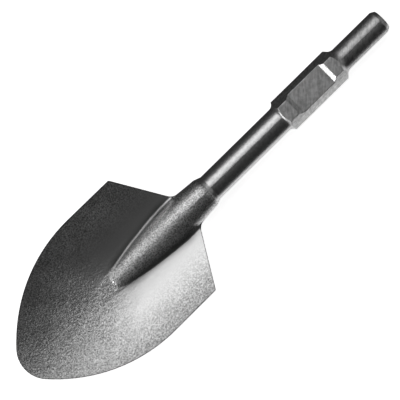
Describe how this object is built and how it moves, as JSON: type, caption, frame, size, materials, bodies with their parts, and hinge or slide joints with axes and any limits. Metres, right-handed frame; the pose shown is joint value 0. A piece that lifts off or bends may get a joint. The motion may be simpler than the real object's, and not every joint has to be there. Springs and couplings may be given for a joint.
{
  "type": "spade chisel",
  "caption": "Clay spade chisel for a demolition hammer: a hexagonal shank with a retainer notch, a round shaft and a dished, pointed spade blade with a ridge down its middle.",
  "frame": {"origin": "centre of the striking face, on the tool's axis", "axes": "+X runs along the tool from the striking face to the tip of the blade, +Z points out of the hollow front of the blade and of the notched flat of the hexagon, +Y runs across the blade; the tool lies on its back"},
  "size_m": [0.4612, 0.1406, 0.0408],
  "materials": {
    "forged_steel": "dark sand-blasted forging on the blade and neck, satin turned shaft and nose, milled hexagon flats"
  },
  "bodies": {
    "root": {"spade_chisel": "forged_steel"}
  },
  "joints": []
}
